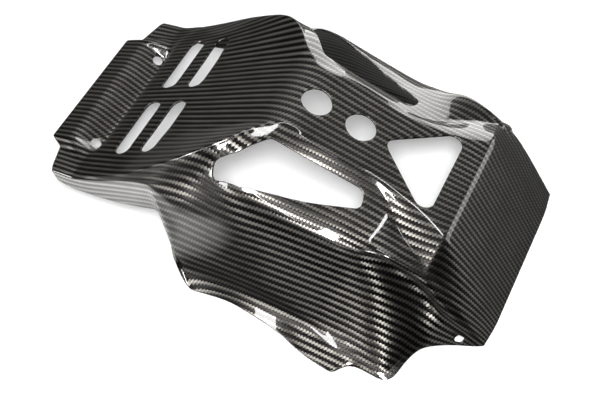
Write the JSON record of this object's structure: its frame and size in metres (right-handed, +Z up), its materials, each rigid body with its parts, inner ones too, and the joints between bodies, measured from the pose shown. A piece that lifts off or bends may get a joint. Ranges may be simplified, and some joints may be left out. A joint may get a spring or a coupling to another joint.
{
  "type": "skid plate",
  "caption": "Moulded carbon-fibre skid plate that shields a motorbike's engine and sump, with drain slots, side windows and bolt holes.",
  "frame": {"origin": "on the floor under the middle of the plate, lying with its open side down", "axes": "+X towards the front lip, +Y across towards the left wing, +Z up through the outer face"},
  "size_m": [0.433, 0.34, 0.133],
  "materials": {
    "carbon_twill": "clear-coated 2 by 2 twill carbon laminate"
  },
  "bodies": {
    "root": {"skid_plate": "carbon_twill"}
  },
  "joints": []
}
